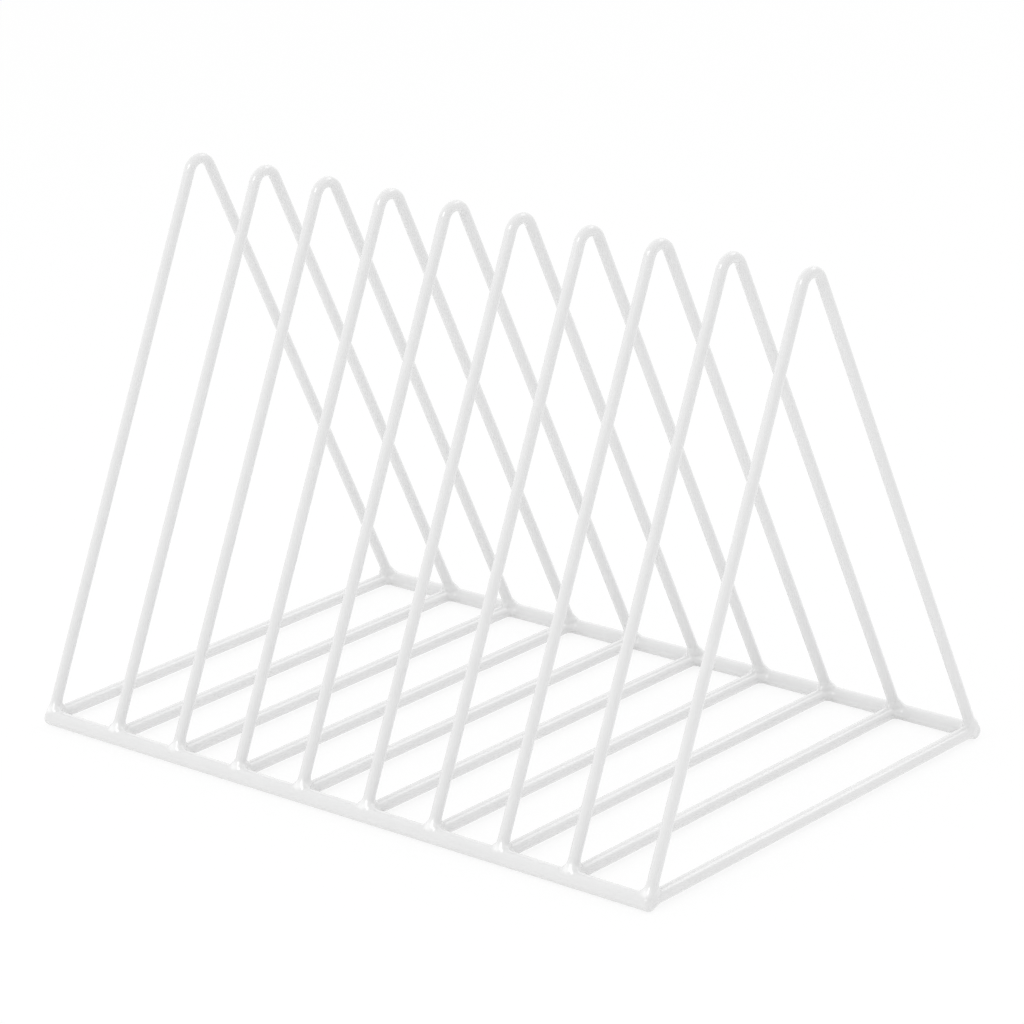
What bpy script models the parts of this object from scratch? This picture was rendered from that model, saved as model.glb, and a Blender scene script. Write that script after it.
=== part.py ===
"""Desktop book rack of welded round wire.

Two straight rails lie on the desk. Ten base wires join them like the rungs of a
ladder, and over each base wire stands a divider: one wire bent to an inverted V with
a small round apex and a foot on each rail. Books stand in the slots between the
dividers. A flared weld holds each corner, so nothing on the rack moves.

Frame: X along the rails, Y from the front rail to the rear one, Z up. The origin is
on the desk, under the middle of the rack.
"""

import math

import bmesh
import bpy
from mathutils import Matrix, Vector

MM = 0.001

# Driving dimensions
DIVIDER_COUNT = 10
INNER_PITCH = 31.4 * MM
END_PITCH = 34.1 * MM
RACK_DEPTH = 196.0 * MM
RACK_HEIGHT = 201.5 * MM
RAIL_DIAMETER = 6.0 * MM
BASE_WIRE_DIAMETER = 5.0 * MM
DIVIDER_DIAMETER = 4.2 * MM
APEX_BEND_RADIUS = 6.0 * MM
RAIL_END_ROUNDING = 1.0 * MM

# Welds: how far a fillet climbs a wire and runs along the rail, how far it swells across
# the rail, and its thinnest wall
LEG_FILLET = 3.6 * MM
BASE_FILLET = 2.6 * MM
LEG_FILLET_SWELL = 0.9 * MM
BASE_FILLET_SWELL = 0.0 * MM
FILLET_WALL = 0.45 * MM

# Joint line between a piece and its neighbours
JOINT_GAP = 0.3 * MM

# Facets
RAIL_SIDES = 16
WIRE_SIDES = 12
APEX_STEPS = 10
FILLET_SIDES = 12
FILLET_STEPS = 3
ROUNDING_STEPS = 2
SMOOTH_BELOW = math.radians(40)

# White gloss paint: its tone on each kind of piece, roughness and metallic value
RAIL_TONE = 0.82
BASE_WIRE_TONE = 0.82
DIVIDER_TONE = 0.80
WELD_TONE = 0.85
PAINT_ROUGHNESS = 0.28
PAINT_METALLIC = 0.0

# Sizes and places that follow
RAIL_RADIUS = RAIL_DIAMETER / 2
BASE_RADIUS = BASE_WIRE_DIAMETER / 2
DIVIDER_RADIUS = DIVIDER_DIAMETER / 2
# The slot at each end of the rack is a little wider than the others.
PITCHES = [END_PITCH] + [INNER_PITCH] * (DIVIDER_COUNT - 3) + [END_PITCH]
DIVIDER_SPAN = sum(PITCHES)
DIVIDER_X = [sum(PITCHES[:place]) - DIVIDER_SPAN / 2 for place in range(DIVIDER_COUNT)]
RAIL_LENGTH = DIVIDER_SPAN + DIVIDER_DIAMETER
RAIL_Y = RACK_DEPTH / 2 - RAIL_RADIUS
RAIL_Z = RAIL_RADIUS
# The tops of the base wires are level with the tops of the rails.
BASE_LIFT = RAIL_RADIUS - BASE_RADIUS

# Each leg points at the rail's axis and meets the apex bend at a tangent. The centre of
# that bend is this high above the rails' axes.
BEND_RISE = RACK_HEIGHT - DIVIDER_RADIUS - APEX_BEND_RADIUS - RAIL_Z
LEG_LENGTH = math.sqrt(RAIL_Y**2 + BEND_RISE**2 - APEX_BEND_RADIUS**2)
LEG_ANGLE = math.atan2(BEND_RISE, RAIL_Y) + math.atan2(APEX_BEND_RADIUS, LEG_LENGTH)
LEG_DIRECTION = Vector((0, math.cos(LEG_ANGLE), math.sin(LEG_ANGLE)))

ALONG_RAIL = Vector((1, 0, 0))
INWARD = Vector((0, 1, 0))
UP = Vector((0, 0, 1))

# A cutter reaches this far from the corner, past everything that it cuts there.
CUTTER_LENGTH = 30 * MM


def clear_scene():
    """Removes every object of the scene."""
    for obj in list(bpy.data.objects):
        bpy.data.objects.remove(obj, do_unlink=True)


def paint(name, tone):
    """White gloss paint of one kind of piece."""
    material = bpy.data.materials.new(name)
    material.use_nodes = True
    material.diffuse_color = (tone, tone, tone, 1)
    shader = material.node_tree.nodes["Principled BSDF"]
    shader.inputs["Base Color"].default_value = (tone, tone, tone, 1)
    shader.inputs["Roughness"].default_value = PAINT_ROUGHNESS
    shader.inputs["Metallic"].default_value = PAINT_METALLIC
    return material


def closed_mesh(name, bm):
    """Makes a bmesh a mesh with its faces pointing out."""
    bmesh.ops.recalc_face_normals(bm, faces=bm.faces)
    mesh = bpy.data.meshes.new(name)
    bm.to_mesh(mesh)
    bm.free()
    return mesh


def section_frame(point, direction, sides):
    """Places a wire's round section at a point, with flats that face along the rail and across it."""
    across = ALONG_RAIL if abs(direction.x) < 0.5 else UP
    other = direction.cross(across)
    turn = Matrix((across, other, direction)).transposed().to_4x4()
    return Matrix.Translation(point) @ turn @ Matrix.Rotation(math.pi / sides, 4, "Z")


def corner_radius(radius, sides):
    """Radius of a section's corners, where its flats lie at the wire's radius."""
    return radius / math.cos(math.pi / sides)


def straight_wire(name, start, end, radius, sides):
    """A straight round wire from one point to another."""
    run = end - start
    bm = bmesh.new()
    bmesh.ops.create_cone(
        bm,
        cap_ends=True,
        segments=sides,
        radius1=corner_radius(radius, sides),
        radius2=corner_radius(radius, sides),
        depth=run.length,
        matrix=section_frame((start + end) / 2, run.normalized(), sides),
    )
    return closed_mesh(name, bm)


def helper(name, mesh, place=None):
    """A construction object, which is not a piece of the rack."""
    obj = bpy.data.objects.new(name, mesh)
    obj.hide_render = True
    obj.display_type = "WIRE"
    obj.matrix_world = place or Matrix.Identity(4)
    bpy.context.scene.collection.objects.link(obj)
    return obj


def combined(name, mesh, joined, cutters):
    """The mesh with helpers joined to it, and then with cutters taken away from it."""
    blank = helper(name, mesh)
    for operation, others in (("UNION", joined), ("DIFFERENCE", cutters)):
        for other in others:
            modifier = blank.modifiers.new(other.name, "BOOLEAN")
            modifier.operation = operation
            modifier.object = other
    bpy.context.view_layer.update()
    evaluated = blank.evaluated_get(bpy.context.evaluated_depsgraph_get())
    result = bpy.data.meshes.new_from_object(evaluated)
    result.name = name
    bpy.data.objects.remove(blank)
    return result


def corner_cutters():
    """The rail, base wire and leg at a front corner, larger by the joint line.

    They are placed about the rail's axis, at the divider's plane.
    """
    sideways = ALONG_RAIL * CUTTER_LENGTH
    lift = UP * BASE_LIFT
    base_end = INWARD * CUTTER_LENGTH + lift
    leg_end = LEG_DIRECTION * CUTTER_LENGTH
    origin = Vector()
    meshes = {
        "rail": straight_wire("rail_cutter", -sideways, sideways, RAIL_RADIUS + JOINT_GAP, RAIL_SIDES),
        "base": straight_wire("base_cutter", lift, base_end, BASE_RADIUS + JOINT_GAP, WIRE_SIDES),
        "leg": straight_wire("leg_cutter", origin, leg_end, DIVIDER_RADIUS + JOINT_GAP, WIRE_SIDES),
    }
    return {name: helper(mesh.name, mesh) for name, mesh in meshes.items()}


def corner_place(turn):
    """Moves what is about the rail's axis to the front rail, or with half a turn to the rear one."""
    return Matrix.Rotation(turn, 4, "Z") @ Matrix.Translation((0, -RAIL_Y, RAIL_Z))


def at_both_rails(cutters):
    """Copies of corner cutters, at the front rail and at the rear one."""
    return [
        helper(cutter.name, cutter.data, corner_place(turn))
        for turn in (0, math.pi)
        for cutter in cutters
    ]


def rail_mesh():
    """A rail along X, about its own middle, with rounded ends."""
    half = ALONG_RAIL * RAIL_LENGTH / 2
    bm = bmesh.new()
    bm.from_mesh(straight_wire("rail_blank", -half, half, RAIL_RADIUS, RAIL_SIDES))
    rims = [edge for edge in bm.edges if edge.calc_length() < RAIL_RADIUS]
    bmesh.ops.bevel(
        bm,
        geom=rims,
        offset=RAIL_END_ROUNDING,
        segments=ROUNDING_STEPS,
        profile=0.5,
        affect="EDGES",
    )
    return closed_mesh("rail", bm)


def base_wire_mesh(cutters):
    """A base wire across the rack, its ends coped to the inner sides of the rails."""
    height = UP * (RAIL_Z + BASE_LIFT)
    reach = INWARD * RAIL_Y
    blank = straight_wire("base_wire_blank", height - reach, height + reach, BASE_RADIUS, WIRE_SIDES)
    return combined("base_wire", blank, [], at_both_rails([cutters["rail"]]))


def open_rim(items):
    """The edges among some items that bound only one face: the open end of a wire."""
    return [item for item in items if isinstance(item, bmesh.types.BMEdge) and item.is_boundary]


def pushed(bm, rim, step):
    """Extrudes a wire's open end by a step and returns the new end."""
    grown = bmesh.ops.extrude_edge_only(bm, edges=rim)["geom"]
    moved = [item for item in grown if isinstance(item, bmesh.types.BMVert)]
    bmesh.ops.translate(bm, verts=moved, vec=step)
    return open_rim(grown)


def bent(bm, rim, centre, angle):
    """Turns a wire's open end over a bend's centre, from front to rear, and returns the new end."""
    turned = bmesh.ops.spin(
        bm,
        geom=rim,
        cent=centre,
        axis=-ALONG_RAIL,
        angle=angle,
        steps=APEX_STEPS,
        use_duplicate=False,
    )["geom_last"]
    return open_rim(turned)


def divider_mesh(cutters):
    """A divider: up the front leg, over the apex and down the rear leg, its feet coped."""
    rise = LEG_DIRECTION * LEG_LENGTH
    bm = bmesh.new()
    bmesh.ops.create_circle(
        bm,
        segments=WIRE_SIDES,
        radius=corner_radius(DIVIDER_RADIUS, WIRE_SIDES),
        matrix=section_frame(Vector((0, -RAIL_Y, RAIL_Z)), LEG_DIRECTION, WIRE_SIDES),
    )
    foot = list(bm.edges)
    end = pushed(bm, foot, rise)
    end = bent(bm, end, UP * (RAIL_Z + BEND_RISE), 2 * LEG_ANGLE)
    end = pushed(bm, end, Vector((0, rise.y, -rise.z)))
    for rim in (foot, end):
        bmesh.ops.contextual_create(bm, geom=rim)
    blank = closed_mesh("divider_blank", bm)
    return combined("divider", blank, [], at_both_rails([cutters["rail"], cutters["base"]]))


def fillet_mesh(name, start, direction, wire_radius, reach, swell, left, right):
    """A collar round a wire, flaring in a hollow quarter circle down to the rail.

    Its rings are ovals across the wire. Along the rail a ring flares by the reach, to the
    left and right sides that are asked for, and across the rail it swells.
    """
    wall = wire_radius + JOINT_GAP + FILLET_WALL
    across = direction.cross(ALONG_RAIL)
    # The first ring lies inside the rail and the second on its surface, both at full flare.
    rises = [-RAIL_RADIUS / 2] + [reach * step / FILLET_STEPS for step in range(FILLET_STEPS + 1)]
    bm = bmesh.new()
    rings = []
    for rise in rises:
        level = start + direction * (RAIL_RADIUS + rise)
        slope = 1 - max(rise, 0) / reach
        flare = 1 - math.sqrt(1 - slope**2)
        ring = bmesh.ops.create_circle(bm, segments=FILLET_SIDES, radius=1)["verts"]
        rings.append({edge for vert in ring for edge in vert.link_edges})
        for vert in ring:
            side, depth, _ = vert.co
            flares = right if side > 0 else left
            width = wall + (flare * reach if flares else 0)
            thickness = wall + flare * swell
            vert.co = level + ALONG_RAIL * (side * width) + across * (depth * thickness)
    for lower, upper in zip(rings, rings[1:]):
        bmesh.ops.bridge_loops(bm, edges=list(lower | upper))
    for end in (rings[0], rings[-1]):
        bmesh.ops.contextual_create(bm, geom=list(end))
    return closed_mesh(name, bm)


def weld_mesh(name, cutters, left=True, right=True):
    """The weld of a front corner about the rail's axis: fillets round the leg and the base wire.

    At the rail's left or right end the fillets have no rail to flare along on that side.
    """
    leg = fillet_mesh(
        name + "_leg",
        Vector(),
        LEG_DIRECTION,
        DIVIDER_RADIUS,
        LEG_FILLET,
        LEG_FILLET_SWELL,
        left,
        right,
    )
    base = fillet_mesh(
        name + "_base",
        UP * BASE_LIFT,
        INWARD,
        BASE_RADIUS,
        BASE_FILLET,
        BASE_FILLET_SWELL,
        left,
        right,
    )
    return combined(name, leg, [helper(base.name, base)], cutters.values())


def piece(name, mesh, place, parent):
    """Adds one piece of the rack."""
    obj = bpy.data.objects.new(name, mesh)
    obj.parent = parent
    obj.matrix_world = place
    bpy.context.scene.collection.objects.link(obj)


def finish(mesh, material):
    """Paints a mesh and shades its round sides smooth."""
    mesh.materials.append(material)
    mesh.shade_smooth()
    mesh.set_sharp_from_angle(angle=SMOOTH_BELOW)
    return mesh


def build_rack():
    """Makes each kind of piece once and sets its copies along the rails."""
    clear_scene()
    cutters = corner_cutters()
    weld_paint = paint("weld_paint", WELD_TONE)
    rail = finish(rail_mesh(), paint("rail_paint", RAIL_TONE))
    base_wire = finish(base_wire_mesh(cutters), paint("base_wire_paint", BASE_WIRE_TONE))
    divider = finish(divider_mesh(cutters), paint("divider_paint", DIVIDER_TONE))
    weld = finish(weld_mesh("weld", cutters), weld_paint)
    left_weld = finish(weld_mesh("left_weld", cutters, left=False), weld_paint)
    right_weld = finish(weld_mesh("right_weld", cutters, right=False), weld_paint)
    for obj in [obj for obj in bpy.data.objects if obj.hide_render]:
        bpy.data.objects.remove(obj)

    rack = bpy.data.objects.new("book_rack", None)
    bpy.context.scene.collection.objects.link(rack)
    welds = [left_weld] + [weld] * (DIVIDER_COUNT - 2) + [right_weld]
    for side, turn in (("front", 0), ("rear", math.pi)):
        piece(f"{side}_rail", rail, corner_place(turn), rack)
        # A rear weld is a front one turned round, so the rear row starts with a right one.
        row = welds if side == "front" else reversed(welds)
        for number, (x, mesh) in enumerate(zip(DIVIDER_X, row), start=1):
            place = Matrix.Translation((x, 0, 0)) @ corner_place(turn)
            piece(f"{side}_weld_{number:02d}", mesh, place, rack)
    for number, x in enumerate(DIVIDER_X, start=1):
        place = Matrix.Translation((x, 0, 0))
        piece(f"base_wire_{number:02d}", base_wire, place, rack)
        piece(f"divider_{number:02d}", divider, place, rack)


build_rack()
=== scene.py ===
"""Finished looks of the desktop book rack: welded wire under gloss white paint.

Each solid of the frame is replaced by a smooth skin of the same place and size. The rails,
base wires and dividers are round sections carried along their own lines. A weld is a skin
drawn over the corner where a rail, a divider's leg and a base wire meet, with a hollow
fillet between them.

Units are metres: X along the rails, Y from the front rail to the rear one, Z up.
"""

import logging
import math
from dataclasses import dataclass
from enum import Enum
from typing import Any, Union

import bpy
import numpy as np
from mathutils import Matrix, Vector


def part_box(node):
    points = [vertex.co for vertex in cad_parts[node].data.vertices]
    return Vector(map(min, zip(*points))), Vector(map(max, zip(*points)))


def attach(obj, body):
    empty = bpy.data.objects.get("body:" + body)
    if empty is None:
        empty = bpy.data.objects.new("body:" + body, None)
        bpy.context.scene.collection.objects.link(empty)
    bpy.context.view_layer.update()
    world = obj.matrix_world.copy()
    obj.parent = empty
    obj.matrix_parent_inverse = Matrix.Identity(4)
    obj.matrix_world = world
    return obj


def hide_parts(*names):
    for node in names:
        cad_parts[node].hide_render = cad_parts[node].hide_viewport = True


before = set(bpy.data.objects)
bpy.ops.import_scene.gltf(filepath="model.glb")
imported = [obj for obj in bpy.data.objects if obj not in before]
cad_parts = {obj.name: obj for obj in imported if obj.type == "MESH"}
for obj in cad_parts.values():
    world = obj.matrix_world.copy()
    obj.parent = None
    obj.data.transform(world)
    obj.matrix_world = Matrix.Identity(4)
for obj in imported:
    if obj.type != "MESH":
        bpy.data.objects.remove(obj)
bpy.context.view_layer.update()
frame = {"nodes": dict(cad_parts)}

log = logging.getLogger("book_rack")

MM = 0.001
# Width of the photograph's frame
PHOTO_PIXELS = 1024
# Keeps a length that something is divided by off zero
TINY = 1e-9

Array = np.ndarray
Skin = tuple[Array, Array]
Number = Union[int, float]

X_AXIS = np.array([1.0, 0.0, 0.0])
Y_AXIS = np.array([0.0, 1.0, 0.0])
Z_AXIS = np.array([0.0, 0.0, 1.0])


class Side(Enum):
    """A long side of the rack. The value turns a front corner to that side."""

    FRONT = 1
    REAR = -1


class RailEnd(Enum):
    """Whether a corner is at an end of its rail. The value is the way along X to that end."""

    LEFT = -1
    NONE = 0
    RIGHT = 1

    def turned(self, side: Side) -> "RailEnd":
        """The same end, seen from a front corner that is turned to a side."""
        return RailEnd(self.value * side.value)


class Term:
    """A shader socket that stands in Python arithmetic.

    Attributes:
        sheet: The node sheet that the socket belongs to.
        socket: The output socket.
    """

    def __init__(self, sheet: "NodeSheet", socket: bpy.types.NodeSocket) -> None:
        """Wraps an output socket of a sheet."""
        self.sheet = sheet
        self.socket = socket

    def _math(self, operation: str, first: "Input", second: "Input") -> "Term":
        """The result of a Math node on two values."""
        node = self.sheet.node("ShaderNodeMath", {"operation": operation}, {0: first, 1: second})
        return Term(self.sheet, node.outputs[0])

    def __add__(self, other: "Input") -> "Term":
        """This value plus another."""
        return self._math("ADD", self, other)

    def __radd__(self, other: "Input") -> "Term":
        """Another value plus this."""
        return self._math("ADD", other, self)

    def __sub__(self, other: "Input") -> "Term":
        """This value less another."""
        return self._math("SUBTRACT", self, other)

    def __rsub__(self, other: "Input") -> "Term":
        """Another value less this."""
        return self._math("SUBTRACT", other, self)

    def __mul__(self, other: "Input") -> "Term":
        """This value times another."""
        return self._math("MULTIPLY", self, other)

    def __rmul__(self, other: "Input") -> "Term":
        """Another value times this."""
        return self._math("MULTIPLY", other, self)

    def clamped(self) -> "Term":
        """This value kept between 0 and 1."""
        return Term(self.sheet, self.sheet.node("ShaderNodeClamp", {}, {"Value": self}).outputs[0])


Input = Union[Term, Number, tuple]


@dataclass
class NodeSheet:
    """A node tree that is filled from Python.

    Attributes:
        tree: The node tree of a material or of the world.
    """

    tree: bpy.types.NodeTree

    def node(self, kind: str, settings: dict[str, Any], inputs: dict[Any, Input]) -> bpy.types.Node:
        """Adds a node, makes its settings and then fills its sockets.

        Args:
            kind: The node's type.
            settings: Values of the node's own properties.
            inputs: A value or a term for each named or numbered input socket.

        Returns:
            The new node.
        """
        node = self.tree.nodes.new(kind)
        for name, value in settings.items():
            setattr(node, name, value)
        for key, value in inputs.items():
            if isinstance(value, Term):
                self.tree.links.new(value.socket, node.inputs[key])
            else:
                node.inputs[key].default_value = value
        return node

    def term(self, kind: str, settings: dict[str, Any], inputs: dict[Any, Input], output: Any = 0) -> Term:
        """Adds a node and wraps one of its outputs.

        Args:
            kind: The node's type.
            settings: Values of the node's own properties.
            inputs: A value or a term for each named or numbered input socket.
            output: The name or number of the output socket.

        Returns:
            That output as a term.
        """
        return Term(self, self.node(kind, settings, inputs).outputs[output])

    def noise(self, place: Term, size: float, detail: float) -> Term:
        """Soft noise about 0.5 over a place, with features of about one size.

        Args:
            place: The point that the noise is read at.
            size: Size of a feature in metres.
            detail: Number of finer layers.

        Returns:
            The noise value.
        """
        inputs = {"Vector": place, "Scale": 1 / size, "Detail": detail, "Roughness": 0.5}
        return self.term("ShaderNodeTexNoise", {"noise_dimensions": "3D"}, inputs)

    def colour(self, share: Term, low: Number, high: Number) -> Term:
        """A neutral colour between two tones.

        Args:
            share: 0 gives the low tone and 1 the high one.
            low: First tone.
            high: Second tone.

        Returns:
            The mixed colour.
        """
        return self.toward(share, (low, low, low, 1), high)

    def toward(self, share: Term, colour: Input, tone: Number) -> Term:
        """A colour that gives way to a neutral tone.

        Args:
            share: 0 keeps the colour and 1 gives the tone.
            colour: The colour.
            tone: The tone.

        Returns:
            The mixed colour.
        """
        # A Mix node's colours are its inputs 6 and 7 and its output 2.
        inputs = {0: share, 6: colour, 7: (tone, tone, tone, 1)}
        return self.term("ShaderNodeMix", {"data_type": "RGBA"}, inputs, 2)


@dataclass(frozen=True)
class PaintFinish:
    """Gloss white paint on one kind of piece.

    Attributes:
        slot: The record's material slot.
        tone: Tone of the paint, from 0 to 1.
        tone_spread: How far the tone drifts over a wire.
        roughness: Roughness of the smooth paint.
        roughness_spread: How far the roughness drifts.
        coat: Weight of the glassy skin on top of the paint.
        coat_roughness: Roughness of that skin.
        coat_index: Refractive index of that skin.
        peel_size: Size of a dimple of the paint's faint orange peel.
        peel_depth: Depth of those dimples.
        peel_layers: Finer layers of the peel.
        drift_size: Length over which the coat grows thicker and thinner.
        drift_layers: Finer layers of that drift.
        bead_highlight_gain: Share of the lighter tone where the paint fills a fillet, or 0.
        bead_highlight_tone: Tone there, for pooled paint and a painted highlight together.
        bead_polish: How much less rough the pooled paint is.
        scuff_height: Height above the desk up to which the paint is rubbed, or 0.
        scuff_tone: Tone of the rubbed paint.
        scuff_roughness: How much rougher the rubbed paint is.
        scuff_size: Size of a rubbed patch.
        scuff_layers: Finer layers of the patches.
        scuff_contrast: How sharply a patch ends.
        scuff_start: Noise value, times the contrast, at which a patch starts.
    """

    slot: str
    tone: float = 0.83
    tone_spread: float = 0.02
    roughness: float = 0.25
    roughness_spread: float = 0.06
    coat: float = 1.0
    coat_roughness: float = 0.12
    coat_index: float = 1.6
    peel_size: float = 1.3 * MM
    peel_depth: float = 0.006 * MM
    peel_layers: int = 1
    drift_size: float = 14 * MM
    drift_layers: int = 3
    bead_highlight_gain: float = 0.0
    bead_highlight_tone: float = 0.97
    bead_polish: float = 0.06
    scuff_height: float = 0.0
    scuff_tone: float = 0.62
    scuff_roughness: float = 0.25
    scuff_size: float = 5 * MM
    scuff_layers: int = 4
    scuff_contrast: float = 3.0
    scuff_start: float = 1.2

    def material(self) -> bpy.types.Material:
        """The paint as a material on Object coordinates, made at its first use.

        Tone and roughness follow a slow drift of the coat, the normal a fine orange peel.
        Where the piece has beads, the paint there is smoother, and lighter: partly pooled paint,
        partly a painted highlight.

        Returns:
            The material.
        """
        name = f"finished_{self.slot}"
        if name in bpy.data.materials:
            return bpy.data.materials[name]
        material = bpy.data.materials.new(name)
        material.use_nodes = True
        material.node_tree.nodes.clear()
        sheet = NodeSheet(material.node_tree)
        place = sheet.term("ShaderNodeTexCoord", {}, {}, "Object")
        drift = sheet.noise(place, self.drift_size, self.drift_layers)
        peel = sheet.noise(place, self.peel_size, self.peel_layers)
        colour = sheet.colour(drift, self.tone - self.tone_spread, self.tone + self.tone_spread)
        roughness = self.roughness + (drift - 0.5) * self.roughness_spread
        if self.bead_highlight_gain:
            bead = sheet.term("ShaderNodeAttribute", {"attribute_name": "bead"}, {}, "Fac")
            # The bead's mask lightens the colour: partly pooled paint, partly a painted highlight.
            colour = sheet.toward(bead * self.bead_highlight_gain, colour, self.bead_highlight_tone)
            roughness = roughness - bead * self.bead_polish
        if self.scuff_height:
            rubbed = self.rubbed(sheet, place)
            colour = sheet.toward(rubbed, colour, self.scuff_tone)
            roughness = roughness + rubbed * self.scuff_roughness
        bump = {"Height": peel, "Strength": 1.0, "Distance": self.peel_depth}
        normal = sheet.term("ShaderNodeBump", {}, bump)
        shader = {
            "Base Color": colour,
            "Roughness": roughness,
            "Normal": normal,
            "Coat Weight": self.coat,
            "Coat Roughness": self.coat_roughness,
            "Coat IOR": self.coat_index,
        }
        surface = sheet.term("ShaderNodeBsdfPrincipled", {}, shader)
        sheet.node("ShaderNodeOutputMaterial", {}, {"Surface": surface})
        return material

    def rubbed(self, sheet: NodeSheet, place: Term) -> Term:
        """Share of the paint that the desk has rubbed, in patches along the lowest line.

        Args:
            sheet: The material's node sheet.
            place: Object coordinates.

        Returns:
            0 on clean paint, up to 1 on rubbed paint.
        """
        height = sheet.term("ShaderNodeSeparateXYZ", {}, {0: place}, "Z")
        low = (1 - height * (1 / self.scuff_height)).clamped()
        patches = sheet.noise(place, self.scuff_size, self.scuff_layers)
        return low * (patches * self.scuff_contrast - self.scuff_start).clamped()


@dataclass(frozen=True)
class RackPlan:
    """Sizes and places of the rack, read from the frame.

    Attributes:
        rail_length: Length of a rail.
        rail_radius: Radius of a rail.
        rail_offset: From the middle of the rack to a rail's axis, along Y.
        rail_height: Height of a rail's axis.
        base_radius: Radius of a base wire.
        base_height: Height of a base wire's axis.
        divider_radius: Radius of a divider's wire.
        divider_top: Height of a divider's top.
        divider_places: Where the dividers stand along X.
        bend_radius: Radius of a divider's bend, at the wire's axis.
    """

    rail_length: float
    rail_radius: float
    rail_offset: float
    rail_height: float
    base_radius: float
    base_height: float
    divider_radius: float
    divider_top: float
    divider_places: tuple[float, ...]
    bend_radius: float = 6.0 * MM

    @classmethod
    def from_frame(cls, nodes: dict[str, bpy.types.Object]) -> "RackPlan":
        """Reads the plan from the boxes of the frame's nodes.

        Args:
            nodes: The frame's nodes by name.

        Returns:
            The plan.
        """
        rail_low, rail_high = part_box("front_rail")
        base_low, base_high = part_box("base_wire_01")
        dividers = [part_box(name) for name in sorted(nodes) if name.startswith("divider_")]
        low, high = dividers[0]
        return cls(
            rail_length=rail_high.x - rail_low.x,
            rail_radius=(rail_high.z - rail_low.z) / 2,
            rail_offset=-(rail_high.y + rail_low.y) / 2,
            rail_height=(rail_high.z + rail_low.z) / 2,
            base_radius=(base_high.x - base_low.x) / 2,
            base_height=(base_high.z + base_low.z) / 2,
            divider_radius=(high.x - low.x) / 2,
            divider_top=high.z,
            divider_places=tuple((start.x + end.x) / 2 for start, end in dividers),
        )

    @property
    def bend_height(self) -> float:
        """Height of the centre of a divider's bend."""
        return self.divider_top - self.divider_radius - self.bend_radius

    @property
    def leg_length(self) -> float:
        """From the rail's axis to the point where a leg meets the bend at a tangent."""
        rise = self.bend_height - self.rail_height
        return math.sqrt(self.rail_offset**2 + rise**2 - self.bend_radius**2)

    @property
    def leg_angle(self) -> float:
        """Angle between a leg and the desk."""
        rise = self.bend_height - self.rail_height
        return math.atan2(rise, self.rail_offset) + math.atan2(self.bend_radius, self.leg_length)

    def rail_end(self, number: int) -> RailEnd:
        """Says whether a divider stands at an end of the rails.

        Args:
            number: The divider's number, from 0.

        Returns:
            The end that it stands at, if any.
        """
        if number == 0:
            return RailEnd.LEFT
        return RailEnd.RIGHT if number == len(self.divider_places) - 1 else RailEnd.NONE


@dataclass
class RingStack:
    """A closed skin: a stack of rings, with a point that closes each end.

    Attributes:
        rings: Points of the rings, as an array of ring, place round the ring and axis. They run
            round the stack's direction by the right-hand rule.
        first: The point that closes the first ring.
        last: The point that closes the last ring.
    """

    rings: Array
    first: Array
    last: Array

    def moved(self, turn: float, step: Array) -> "RingStack":
        """The skin with its X and Y multiplied by 1 or -1, and then moved by a step."""
        scale = np.array([turn, turn, 1.0])
        return RingStack(self.rings * scale + step, self.first * scale + step, self.last * scale + step)

    def mesh(self, name: str) -> bpy.types.Mesh:
        """Makes the skin a mesh of quads, with a fan of triangles at each end.

        Args:
            name: Name of the mesh.

        Returns:
            A smooth closed mesh with its faces pointing out.
        """
        count, sides, _ = self.rings.shape
        corner = np.arange(count * sides).reshape(count, sides)
        beside = np.roll(corner, -1, axis=1)
        quads = np.stack([corner[:-1], beside[:-1], beside[1:], corner[1:]], axis=-1).reshape(-1, 4)
        first = np.full(sides, count * sides)
        fans = np.concatenate([
            np.stack([first, beside[0], corner[0]], axis=-1),
            np.stack([first + 1, corner[-1], beside[-1]], axis=-1),
        ])
        points = np.concatenate([self.rings.reshape(-1, 3), self.first[None], self.last[None]])
        mesh = bpy.data.meshes.new(name)
        mesh.from_pydata(points.tolist(), [], quads.tolist() + fans.tolist())
        mesh.shade_smooth()
        return mesh


def carried_section(path: Array, across: Array, upward: Array, radii: Array, sides: int) -> RingStack:
    """Carries a round section along a path.

    Each ring is the path's point plus the radius there times the cosine of the angle round the
    wire along the first section axis and its sine along the second.

    Args:
        path: Points along the wire's axis.
        across: First section axis at each point.
        upward: Second section axis, where across times upward is the way along the path.
        radii: Radius at each point.
        sides: Number of points round the section.

    Returns:
        The wire's closed skin.
    """
    angle = np.linspace(0, 2 * np.pi, sides, endpoint=False)[None, :, None]
    round_wire = np.cos(angle) * across[:, None, :] + np.sin(angle) * upward[:, None, :]
    rings = path[:, None, :] + radii[:, None, None] * round_wire
    return RingStack(rings, path[0], path[-1])


def repeated(axis: Array, count: int) -> Array:
    """The same axis at each point of a path."""
    return np.broadcast_to(axis, (count, 3))


def add_piece(node: str, skin: RingStack, finish: PaintFinish) -> bpy.types.Object:
    """Adds a painted piece in the place of a node of the frame.

    Args:
        node: Name of the node that the piece stands for.
        skin: The piece's skin, in its place.
        finish: The piece's paint.

    Returns:
        The new object.
    """
    mesh = skin.mesh(f"painted_{node}")
    mesh.materials.append(finish.material())
    piece = bpy.data.objects.new(f"painted_{node}", mesh)
    bpy.context.scene.collection.objects.link(piece)
    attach(piece, "root")
    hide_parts(node)
    log.info("%s: %d faces, %s", piece.name, len(mesh.polygons), finish.slot)
    return piece


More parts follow.
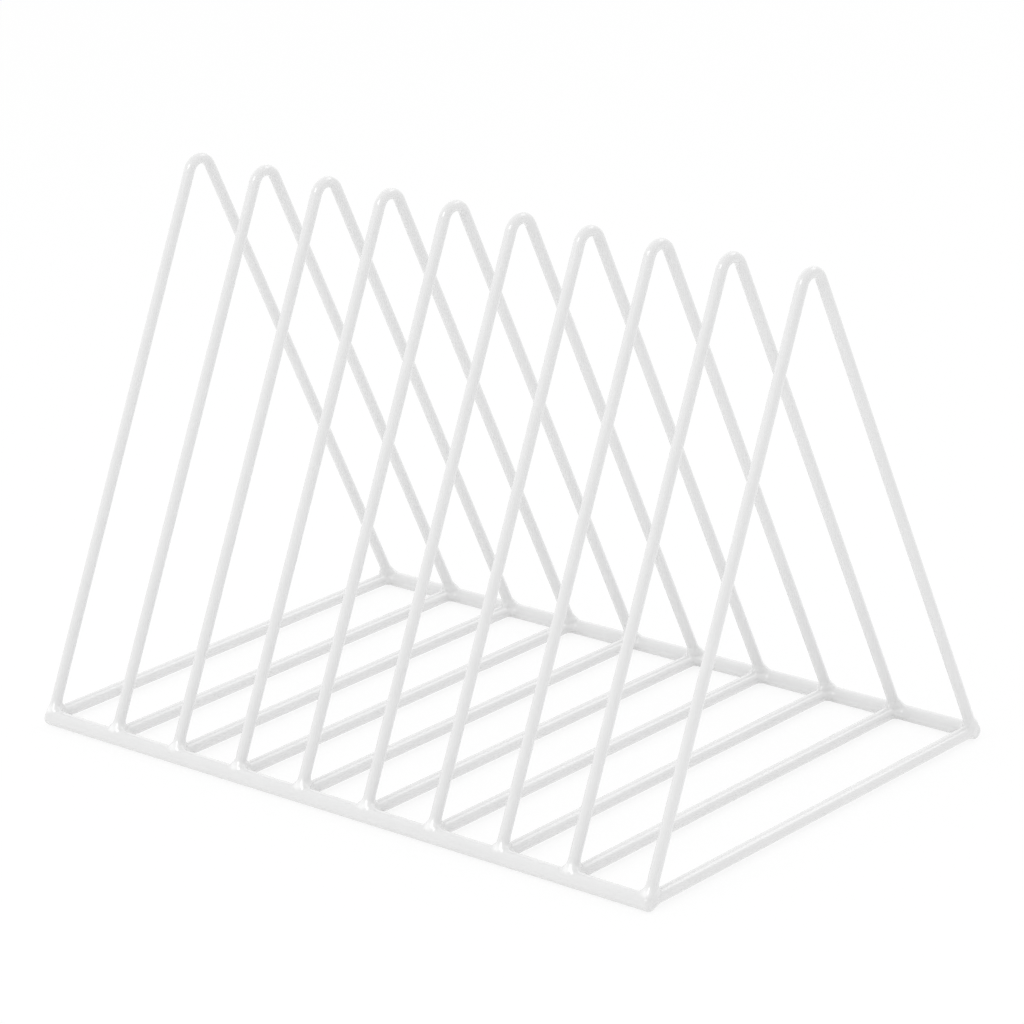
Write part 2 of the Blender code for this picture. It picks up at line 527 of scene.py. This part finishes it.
@dataclass
class RailPair:
    """The two rails that stand on the desk.

    Attributes:
        plan: The rack's sizes.
        finish: Paint of the rails.
        rounding: Radius of the painted edge at a rail's end.
        crown: How far the painted end face swells at its middle.
        sides: Points round a rail.
        side_steps: Rings along half of a rail's side.
        arc_steps: Rings over the rounding of an end, and over its face.
        hub: Smallest ring of an end face, as a share of the face's radius.
    """

    plan: RackPlan
    finish: PaintFinish
    rounding: float = 1.5 * MM
    crown: float = 0.15 * MM
    sides: int = 128
    side_steps: int = 12
    arc_steps: int = 8
    hub: float = 0.1

    def profile(self) -> tuple[Array, Array]:
        """Half of a rail's turned outline: places from its middle out to its end, and radii there.

        The end face swells by a cosine of the radius. A quarter circle joins it to the side.

        Returns:
            Places along X, and radii.
        """
        half = self.plan.rail_length / 2
        turn = np.linspace(0, np.pi / 2, self.arc_steps)
        flat = self.plan.rail_radius - self.rounding
        face = np.linspace(1, self.hub, self.arc_steps)[1:]
        places = np.concatenate([
            np.linspace(0, half - 2 * self.rounding, self.side_steps),
            half - self.rounding + self.rounding * np.sin(turn) - self.crown,
            half - self.crown + self.crown * np.cos(face * np.pi / 2),
        ])
        radii = np.concatenate([
            np.full(self.side_steps, self.plan.rail_radius),
            flat + self.rounding * np.cos(turn),
            flat * face,
        ])
        return places, radii

    def build(self) -> list[bpy.types.Object]:
        """Builds and paints both rails, each an outline turned about its axis.

        Returns:
            The two rails.
        """
        places, radii = self.profile()
        along = np.concatenate([-places[:0:-1], places])
        radius = np.concatenate([radii[:0:-1], radii])
        rail = carried_section(
            along[:, None] * X_AXIS,
            repeated(Y_AXIS, len(along)),
            repeated(Z_AXIS, len(along)),
            radius,
            self.sides,
        )
        pieces = []
        for side in Side:
            step = np.array([0, -side.value * self.plan.rail_offset, self.plan.rail_height])
            node = f"{side.name.lower()}_rail"
            pieces.append(add_piece(node, rail.moved(1, step), self.finish))
        return pieces


@dataclass
class BaseWires:
    """The straight wires between the rails.

    Attributes:
        plan: The rack's sizes.
        finish: Paint of the base wires.
        inset: From a rail's axis to the end of a base wire, inside the weld.
        guard: From an end to the next ring, which keeps the shading of the hidden end face off
            the wire.
        sides: Points round a wire.
        steps: Rings along a wire, apart from its ends.
    """

    plan: RackPlan
    finish: PaintFinish
    inset: float = 2.7 * MM
    guard: float = 0.3 * MM
    sides: int = 96
    steps: int = 16

    def build(self) -> list[bpy.types.Object]:
        """Builds and paints the base wires, each a round section carried straight along Y.

        Returns:
            The base wires.
        """
        half = self.plan.rail_offset - self.inset
        inner = half - self.guard
        along = np.concatenate([[-half], np.linspace(-inner, inner, self.steps), [half]])
        wire = carried_section(
            along[:, None] * Y_AXIS,
            repeated(Z_AXIS, len(along)),
            repeated(X_AXIS, len(along)),
            np.full(len(along), self.plan.base_radius),
            self.sides,
        )
        pieces = []
        for number, place in enumerate(self.plan.divider_places, start=1):
            node = f"base_wire_{number:02d}"
            step = np.array([place, 0, self.plan.base_height])
            pieces.append(add_piece(node, wire.moved(1, step), self.finish))
        return pieces


@dataclass
class DividerRow:
    """The bent wires that books lean on.

    Attributes:
        plan: The rack's sizes.
        finish: Paint of the dividers.
        inset: From a rail's axis to the end of a leg, inside the rail.
        guard: From an end to the next ring, as on a base wire.
        sides: Points round a wire.
        leg_steps: Rings along a leg.
        bend_steps: Rings over the bend.
    """

    plan: RackPlan
    finish: PaintFinish
    inset: float = 1.2 * MM
    guard: float = 0.3 * MM
    sides: int = 96
    leg_steps: int = 16
    bend_steps: int = 40

    def line(self) -> tuple[Array, Array]:
        """The axis of a divider at X = 0: up a leg, over the bend and down the other leg.

        A leg is the rail's axis plus a length along the leg's angle. The bend is its centre plus
        its radius times minus the sine of the wire's own angle along Y and its cosine along Z,
        while that angle goes from the leg's angle to minus it.

        Returns:
            Points, and the wire's angle to the desk at each.
        """
        plan, angle = self.plan, self.plan.leg_angle
        length = np.concatenate([
            [self.inset],
            np.linspace(self.inset + self.guard, plan.leg_length, self.leg_steps),
        ])
        leg_y = -plan.rail_offset + length * math.cos(angle)
        leg_z = plan.rail_height + length * math.sin(angle)
        turn = np.linspace(angle, -angle, self.bend_steps)[1:-1]
        along = np.concatenate([leg_y, -plan.bend_radius * np.sin(turn), -leg_y[::-1]])
        height = np.concatenate([leg_z, plan.bend_height + plan.bend_radius * np.cos(turn), leg_z[::-1]])
        angles = np.concatenate([np.full_like(leg_y, angle), turn, np.full_like(leg_y, -angle)])
        return np.stack([np.zeros_like(along), along, height], axis=-1), angles

    def build(self) -> list[bpy.types.Object]:
        """Builds and paints the dividers, each a round section carried along the bent line.

        Returns:
            The dividers.
        """
        path, angles = self.line()
        wire = carried_section(
            path,
            repeated(X_AXIS, len(path)),
            np.stack([np.zeros_like(angles), np.sin(angles), -np.cos(angles)], axis=-1),
            np.full(len(path), self.plan.divider_radius),
            self.sides,
        )
        pieces = []
        for number, place in enumerate(self.plan.divider_places, start=1):
            node = f"divider_{number:02d}"
            pieces.append(add_piece(node, wire.moved(1, place * X_AXIS), self.finish))
        return pieces


@dataclass
class WeldRow:
    """The painted welds at the corners of the rack.

    A corner's points are about the rail's axis, with Y inward and Z up.

    Attributes:
        plan: The rack's sizes.
        finish: Paint of the welds.
        leg_fillet: Reach of the fillet between a leg and what it stands on.
        outer_gain: Share by which that reach grows on the outer side, where the weld bead runs.
        base_fillet: Reach of the fillet between a base wire and the rail.
        leg_fade: How soon a leg's fillet fades as its two surfaces come to face the same way.
        base_fade: The same for a base wire's fillet.
        least_reach: Share of a fillet's reach that is left where it has faded.
        full_bead: Thickness of a fillet that counts as full.
        full_height: Height over the rail's axis from which a leg's fillet has its full reach.
        low_share: Share of that reach at the rail's axis and below it.
        bead_start: How far a point faces the outer side where the bead starts, from 0 to 1.
        bead_full: How far it does where the bead is full.
        unevenness: Share by which a fillet's reach wanders.
        waves_around: Waves of that wandering in a turn round the rail.
        turn_along: Angle in radians that its waves go through in a metre along the rail.
        shift_around: Angle by which the waves round the rail shift from weld to weld.
        shift_along: The same for the waves along the rail.
        sunk: How far the skin lies under the wires where there is no fillet.
        end_rounding: Radius of the painted edge at a rail's end.
        reach: How far the skin follows a wire from the rail's axis.
        margin: How far it follows the rail past the fillet.
        fine_angles: Where the points round the rail stand close together, in degrees from inward.
        fine_sides: Points in that part.
        coarse_sides: Points in the other part.
        core_share: Share of a leg's radius that the rings over its middle take up.
        core_steps: Rings over the middle of a leg.
        wall_steps: Rings from a wire's wall to the end of its fillet.
        end_lean: Lean of the last ring over a rail's end, in degrees.
        end_steps: Rings over a rail's end.
        ring_digits: Decimals of a metre at which two rings count as one.
        halvings: Steps of the search for the skin.
        probe: Step over which the skin's slope is measured.
    """

    plan: RackPlan
    finish: PaintFinish
    leg_fillet: float = 4.1 * MM
    outer_gain: float = 0.5
    base_fillet: float = 3.6 * MM
    leg_fade: float = 0.6
    base_fade: float = 0.8
    least_reach: float = 0.01
    full_bead: float = 0.6 * MM
    full_height: float = 3.9 * MM
    low_share: float = 0.1
    bead_start: float = 0.3
    bead_full: float = 0.8
    unevenness: float = 0.12
    waves_around: int = 2
    turn_along: float = 700.0
    shift_around: float = 2.4
    shift_along: float = 1.7
    sunk: float = 0.003 * MM
    end_rounding: float = 1.5 * MM
    reach: float = 11.0 * MM
    margin: float = 1.0 * MM
    fine_angles: tuple[float, float] = (-35.0, 145.0)
    fine_sides: int = 160
    coarse_sides: int = 48
    core_share: float = 0.97
    core_steps: int = 14
    wall_steps: int = 22
    end_lean: float = 89.0
    end_steps: int = 30
    ring_digits: int = 5
    halvings: int = 26
    probe: float = 0.01 * MM

    def rail_skin(self, points: Array, end: RailEnd, overhang: float) -> Skin:
        """Distance to the rail's surface, and the way out of it.

        The rail is a cylinder about X. At an end its edge is a quarter circle: past the rounding's
        corner the distance is measured from that corner's circle.

        Args:
            points: Where to measure.
            end: The end of the rail that the corner is at, if any.
            overhang: From the corner to that end.

        Returns:
            Distances, negative inside, and directions.
        """
        radial = points * np.array([0, 1, 1])
        across = np.linalg.norm(radial, axis=-1)
        outward = radial / np.maximum(across, TINY)[..., None]
        side_gap = across - self.plan.rail_radius
        if end is RailEnd.NONE:
            return side_gap, outward
        side_part = side_gap + self.end_rounding
        end_part = end.value * points[..., 0] - overhang + self.end_rounding
        outside = np.hypot(np.maximum(side_part, 0), np.maximum(end_part, 0))
        inside = np.minimum(np.maximum(side_part, end_part), 0)
        weights = np.maximum(np.stack([end_part, side_part], axis=-1), TINY)
        weights = weights / np.linalg.norm(weights, axis=-1, keepdims=True)
        direction = weights[..., :1] * end.value * X_AXIS + weights[..., 1:] * outward
        return outside + inside - self.end_rounding, direction

    def wire_skin(self, points: Array, start: Array, direction: Array, radius: float) -> Skin:
        """Distance to a wire that runs from a point without end, and the way out of it.

        The way out is square to the wire's axis, also before its start.

        Args:
            points: Where to measure.
            start: Start of the wire's axis.
            direction: The way that the wire runs.
            radius: Radius of the wire.

        Returns:
            Distances, negative inside, and directions.
        """
        gap = points - start
        run = (gap @ direction)[..., None]
        distance = np.linalg.norm(gap - np.maximum(run, 0) * direction, axis=-1)
        away = gap - run * direction
        return distance - radius, away / np.maximum(np.linalg.norm(away, axis=-1, keepdims=True), TINY)

    def joined(self, first: Skin, second: Skin, fillet: Union[float, Array], fade: float) -> Skin:
        """Joins two skins with a hollow fillet.

        The distance is the smaller of the two, less the fillet's depth. That depth starts where
        the two differ by the fillet's reach, and its slope rises by a smooth step to one half
        where they are the same. The reach shrinks where the two surfaces face the same way.

        Args:
            first: Distance and direction of one surface.
            second: Distance and direction of the other.
            fillet: Reach of the fillet.
            fade: How soon it fades.

        Returns:
            Distance and direction of the joined surface.
        """
        (near, near_way), (far, far_way) = first, second
        facing = np.clip(1 - fade * np.sum(near_way * far_way, axis=-1), self.least_reach, 1)
        reach = fillet * facing
        step = np.maximum(1 - np.abs(near - far) / reach, 0)
        depth = reach / 2 * (step**3 - step**4 / 2)
        share = np.clip(0.5 + (far - near) / (2 * reach), 0, 1)[..., None]
        return np.minimum(near, far) - depth, near_way * share + far_way * (1 - share)

    def corner(self, points: Array, end: RailEnd, overhang: float, number: int) -> tuple[Array, Array]:
        """Distance to a corner's painted skin, and how full its bead is.

        The bead counts as full where the skin is thick over the rail and the wires, on the leg's
        outer side. There the weld's paint is lighter: partly pooled paint, partly a painted
        highlight.

        Args:
            points: Where to measure.
            end: The end of the rail that the corner is at, if any.
            overhang: From the corner to that end.
            number: The weld's number, which sets how its fillet wanders.

        Returns:
            Distances to the skin, and fullness of the bead from 0 to 1.
        """
        plan = self.plan
        leg_way = np.array([0, math.cos(plan.leg_angle), math.sin(plan.leg_angle)])
        base_start = np.array([0, plan.base_radius, plan.base_height - plan.rail_height])
        rail = self.rail_skin(points, end, overhang)
        leg = self.wire_skin(points, leg_way * plan.divider_radius, leg_way, plan.divider_radius)
        base = self.wire_skin(points, base_start, Y_AXIS, plan.base_radius)
        around = np.arctan2(points[..., 2], points[..., 1])
        wander = np.sin(self.waves_around * around + self.shift_around * number)
        wander = wander + np.sin(points[..., 0] * self.turn_along + self.shift_along * number)
        # The bead lies on top of the rail, so the fillet shrinks by a smooth step to its axis.
        rise = np.clip(points[..., 2] / self.full_height, 0, 1)
        height = self.low_share + (1 - self.low_share) * rise**2 * (3 - 2 * rise)
        outer = np.clip(-leg[1][..., 1], 0, 1) ** 2
        leg_fillet = self.leg_fillet * (1 + self.unevenness * wander / 2) * height
        leg_fillet = leg_fillet * (1 + self.outer_gain * outer)
        ledge = self.joined(rail, base, self.base_fillet, self.base_fade)
        skin, _ = self.joined(ledge, leg, leg_fillet, self.leg_fade)
        thickness = np.minimum(np.minimum(rail[0], leg[0]), base[0])
        # This mask lightens the weld's paint on the leg's outer side: partly pooled paint, partly a
        # painted highlight where the fillet faces the lamp.
        side = (outer - self.bead_start) / (self.bead_full - self.bead_start)
        bead = np.clip(thickness / self.full_bead, 0, 1) * np.clip(side, 0, 1)
        return skin + self.sunk, bead

    def rays(self, end: RailEnd) -> tuple[Array, Array]:
        """Where the rings' rays start along the rail, and how far they lean along it.

        A ring on the rail has upright rays. They stand closer together by a square law next to the
        walls of the wires. Over a rail's end the rays fan out from the corner itself.

        Args:
            end: The end of the rail that the corner is at, if any.

        Returns:
            Starts along X, and angles of lean, in order along X.
        """
        span = self.leg_fillet * (1 + self.unevenness) + self.margin
        step = np.linspace(0, 1, self.wall_steps) ** 2
        inner = np.linspace(0, self.core_share * self.plan.divider_radius, self.core_steps)
        walls = [wall + span * step for wall in (self.plan.divider_radius, self.plan.base_radius)]
        side = np.unique(np.round(np.concatenate([inner, *walls]), self.ring_digits))
        if end is RailEnd.NONE:
            starts = np.concatenate([-side[:0:-1], side])
            return starts, np.zeros_like(starts)
        fan = np.radians(np.linspace(0, self.end_lean, self.end_steps)[1:])
        starts = np.concatenate([-side[::-1], np.zeros_like(fan)])
        leans = np.concatenate([np.zeros_like(side), fan])
        if end is RailEnd.LEFT:
            return -starts[::-1], -leans[::-1]
        return starts, leans

    def around(self) -> Array:
        """Angles of the points round the rail, close together at the wires and wider elsewhere.

        Returns:
            The angles, from inward by way of up.
        """
        start, stop = np.radians(self.fine_angles)
        fine = np.linspace(start, stop, self.fine_sides, endpoint=False)
        coarse = np.linspace(stop, start + 2 * np.pi, self.coarse_sides, endpoint=False)
        return np.concatenate([fine, coarse])

    def ways_out(self, points: Array, end: RailEnd, overhang: float, number: int) -> Array:
        """Directions out of a corner's skin: the slope of the distance along each axis.

        Args:
            points: Points on the skin.
            end: The end of the rail that the corner is at, if any.
            overhang: From the corner to that end.
            number: The weld's number.

        Returns:
            A direction of length 1 at each point.
        """
        slopes = [
            self.corner(points + axis * self.probe, end, overhang, number)[0]
            - self.corner(points - axis * self.probe, end, overhang, number)[0]
            for axis in (X_AXIS, Y_AXIS, Z_AXIS)
        ]
        ways = np.stack(slopes, axis=-1)
        return ways / np.linalg.norm(ways, axis=-1, keepdims=True)

    def skin(self, end: RailEnd, overhang: float, number: int) -> tuple[RingStack, Array, Array]:
        """The painted skin of a corner.

        Along each ray, from the rail's axis outward, the place of the skin is found by halving: the
        ray's inner part is inside the skin and its outer part is not.

        Args:
            end: The end of the rail that the corner is at, if any.
            overhang: From the corner to that end.
            number: The weld's number.

        Returns:
            The skin, the directions out of it, and how full the bead is, from 0 to 1. The last two
            are for each point of its mesh.
        """
        starts, leans = self.rays(end)
        around = self.around()[None, :, None]
        upright = np.cos(around) * Y_AXIS + np.sin(around) * Z_AXIS
        lean = leans[:, None, None]
        ways = np.sin(lean) * X_AXIS + np.cos(lean) * upright
        origins = starts[:, None, None] * X_AXIS
        low = np.zeros(ways.shape[:2])
        high = np.full(ways.shape[:2], self.reach)
        for _ in range(self.halvings):
            middle = (low + high) / 2
            inside = self.corner(origins + ways * middle[..., None], end, overhang, number)[0] < 0
            low = np.where(inside, middle, low)
            high = np.where(inside, high, middle)
        rings = origins + ways * low[..., None]
        bead = self.corner(rings, end, overhang, number)[1]
        ways_out = self.ways_out(rings, end, overhang, number).reshape(-1, 3)
        stack = RingStack(rings, rings[0].mean(axis=0) * X_AXIS, rings[-1].mean(axis=0) * X_AXIS)
        return stack, np.concatenate([ways_out, [-X_AXIS, X_AXIS]]), np.append(bead.ravel(), [0, 0])

    def build(self) -> list[bpy.types.Object]:
        """Builds and paints the welds. A rear one is a front one turned half round.

        Returns:
            The welds.
        """
        pieces = []
        for side in Side:
            for number, place in enumerate(self.plan.divider_places):
                node = f"{side.name.lower()}_weld_{number + 1:02d}"
                end = self.plan.rail_end(number).turned(side)
                overhang = self.plan.rail_length / 2 - abs(place)
                skin, ways_out, bead = self.skin(end, overhang, number + len(pieces))
                step = np.array([place, -side.value * self.plan.rail_offset, self.plan.rail_height])
                piece = add_piece(node, skin.moved(side.value, step), self.finish)
                turned = ways_out * np.array([side.value, side.value, 1])
                piece.data.normals_split_custom_set_from_vertices(turned.tolist())
                layer = piece.data.attributes.new("bead", "FLOAT", "POINT")
                layer.data.foreach_set("value", bead.astype(np.float32))
                pieces.append(piece)
        return pieces


@dataclass(frozen=True)
class PhotoCamera:
    """The camera of the photograph.

    Attributes:
        azimuth: Angle round the rack in degrees, 0 looking along Y.
        elevation: Angle above the desk in degrees.
        roll: Turn about the line of sight in degrees.
        distance: From the camera to the point that it aims at.
        aim: The point in the middle of the frame.
        focal_pixels: Focal length in pixels of the frame.
        far: How far the camera sees.
    """

    azimuth: float = 41.20
    elevation: float = 18.82
    roll: float = -2.07
    distance: float = 1571.8 * MM
    aim: tuple[float, float, float] = (-13.5 * MM, 23.1 * MM, 77.1 * MM)
    focal_pixels: float = 4225.0
    far: float = 20.0

    def build(self) -> bpy.types.Object:
        """Makes the camera and gives it to the scene.

        Returns:
            The camera.
        """
        azimuth, elevation, roll = (math.radians(a) for a in (self.azimuth, self.elevation, self.roll))
        right = Vector((math.cos(azimuth), math.sin(azimuth), 0))
        back = Vector((
            math.sin(azimuth) * math.cos(elevation),
            -math.cos(azimuth) * math.cos(elevation),
            math.sin(elevation),
        ))
        up = back.cross(right)
        across = right * math.cos(roll) + up * math.sin(roll)
        turn = Matrix((across, back.cross(across), back)).transposed().to_4x4()
        data = bpy.data.cameras.new("photo_camera")
        data.lens = data.sensor_width * self.focal_pixels / PHOTO_PIXELS
        data.clip_end = self.far
        camera = bpy.data.objects.new("photo_camera", data)
        camera.matrix_world = Matrix.Translation(Vector(self.aim) + back * self.distance) @ turn
        bpy.context.scene.collection.objects.link(camera)
        bpy.context.scene.camera = camera
        return camera


@dataclass(frozen=True)
class SoftLamp:
    """A soft lamp with a rectangular face.

    Attributes:
        name: Name of the lamp.
        place: Where it hangs.
        width: Width of its face, which lies along X as near as can be.
        height: Height of its face.
        power: Power in watts.
    """

    name: str
    place: tuple[float, float, float]
    width: float
    height: float
    power: float

    def build(self, aim: Vector) -> bpy.types.Object:
        """Hangs the lamp and aims it.

        Args:
            aim: The point that it shines at.

        Returns:
            The lamp.
        """
        data = bpy.data.lights.new(self.name, "AREA")
        data.shape = "RECTANGLE"
        data.size = self.width
        data.size_y = self.height
        data.energy = self.power
        lamp = bpy.data.objects.new(self.name, data)
        back = (Vector(self.place) - aim).normalized()
        across = (Vector((1, 0, 0)) - back * back.x).normalized()
        turn = Matrix((across, back.cross(across), back)).transposed().to_4x4()
        lamp.matrix_world = Matrix.Translation(self.place) @ turn
        bpy.context.scene.collection.objects.link(lamp)
        return lamp


@dataclass
class Studio:
    """A white floor under a soft sky, with two soft lamps.

    Attributes:
        lamps: The soft lamps.
        floor_radius: Radius of the floor.
        floor_sides: Points round the floor.
        floor_tone: Tone of the floor as it lights the rack.
        floor_glow: Share of the floor's white that the rack's shadow doesn't reach.
        sky_level: Mean strength of the sky.
        sky_slope: How much the strength grows towards the bright side.
        bright_side: The way to the sky's bright side.
    """

    lamps: tuple[SoftLamp, ...] = (
        SoftLamp("key_lamp", place=(-0.03, -1.42, 1.60), width=1.1, height=0.75, power=7.5),
        SoftLamp("back_lamp", place=(0.5, 2.05, 2.1), width=1.5, height=1.0, power=5.0),
    )
    floor_radius: float = 20.0
    floor_sides: int = 96
    floor_tone: float = 0.97
    floor_glow: float = 0.86
    sky_level: float = 0.865
    sky_slope: float = 0.22
    bright_side: tuple[float, float, float] = (-0.6, 0.7, 0.1)

    def floor_material(self) -> bpy.types.Material:
        """A matt floor that is white where it is seen, and keeps the rack's shadow.

        Returns:
            The new material.
        """
        material = bpy.data.materials.new("white_floor")
        material.use_nodes = True
        material.node_tree.nodes.clear()
        sheet = NodeSheet(material.node_tree)
        path = sheet.node("ShaderNodeLightPath", {}, {})
        kinds = ("Is Camera Ray", "Is Glossy Ray", "Is Transmission Ray")
        camera, glossy, through = (Term(sheet, path.outputs[kind]) for kind in kinds)
        seen = (camera + glossy + through).clamped()
        matt = sheet.term("ShaderNodeBsdfDiffuse", {}, {"Color": sheet.colour(seen, self.floor_tone, 1.0)})
        white = sheet.term("ShaderNodeEmission", {}, {"Color": (1, 1, 1, 1), "Strength": 1.0})
        surface = sheet.term("ShaderNodeMixShader", {}, {0: seen * self.floor_glow, 1: matt, 2: white})
        sheet.node("ShaderNodeOutputMaterial", {}, {"Surface": surface})
        return material

    def floor(self) -> bpy.types.Object:
        """The floor: a disc whose points are a radius times the cosine and sine of an angle.

        Returns:
            The floor.
        """
        angle = np.linspace(0, 2 * np.pi, self.floor_sides, endpoint=False)
        rim = np.stack([np.cos(angle), np.sin(angle), np.zeros_like(angle)], axis=-1)
        mesh = bpy.data.meshes.new("floor")
        mesh.from_pydata((rim * self.floor_radius).tolist(), [], [list(range(len(angle)))])
        mesh.materials.append(self.floor_material())
        floor = bpy.data.objects.new("floor", mesh)
        bpy.context.scene.collection.objects.link(floor)
        return floor

    def sky(self) -> None:
        """Lights the scene from all round, by a level plus a slope along one direction."""
        world = bpy.data.worlds.new("studio_sky")
        world.use_nodes = True
        world.node_tree.nodes.clear()
        sheet = NodeSheet(world.node_tree)
        way = sheet.term("ShaderNodeTexCoord", {}, {}, "Generated")
        inputs = {0: way, 1: self.bright_side}
        toward = sheet.term("ShaderNodeVectorMath", {"operation": "DOT_PRODUCT"}, inputs, "Value")
        strength = toward * self.sky_slope + self.sky_level
        sky = sheet.term("ShaderNodeBackground", {}, {"Color": (1, 1, 1, 1), "Strength": strength})
        sheet.node("ShaderNodeOutputWorld", {}, {"Surface": sky})
        bpy.context.scene.world = world

    def build(self, aim: Vector) -> None:
        """Builds the floor, the sky and the lamps.

        Args:
            aim: The point that the lamps shine at.
        """
        self.floor()
        self.sky()
        for lamp in self.lamps:
            lamp.build(aim)
            log.info("%s: %.1f W", lamp.name, lamp.power)
        bpy.context.scene.view_settings.view_transform = "Standard"


def main() -> None:
    """Builds the rack, its studio and its camera."""
    logging.basicConfig(level=logging.INFO, format="%(message)s")
    plan = RackPlan.from_frame(frame["nodes"])
    assemblies = (
        # The rails' paint is a step darker than the rest (0.82 against 0.83), as painted shade that evens
        # out the extra light on their tops.
        RailPair(plan, PaintFinish("rail_paint", tone=0.82, scuff_height=0.25 * MM)),
        BaseWires(plan, PaintFinish("base_wire_paint")),
        DividerRow(plan, PaintFinish("divider_paint")),
        WeldRow(plan, PaintFinish("weld_paint", bead_highlight_gain=1.0)),
    )
    for assembly in assemblies:
        pieces = assembly.build()
        log.info("%s: %d pieces", type(assembly).__name__, len(pieces))
    PhotoCamera().build()
    Studio().build(Vector((0, 0, plan.divider_top / 2)))


if __name__ == "__main__":
    main()
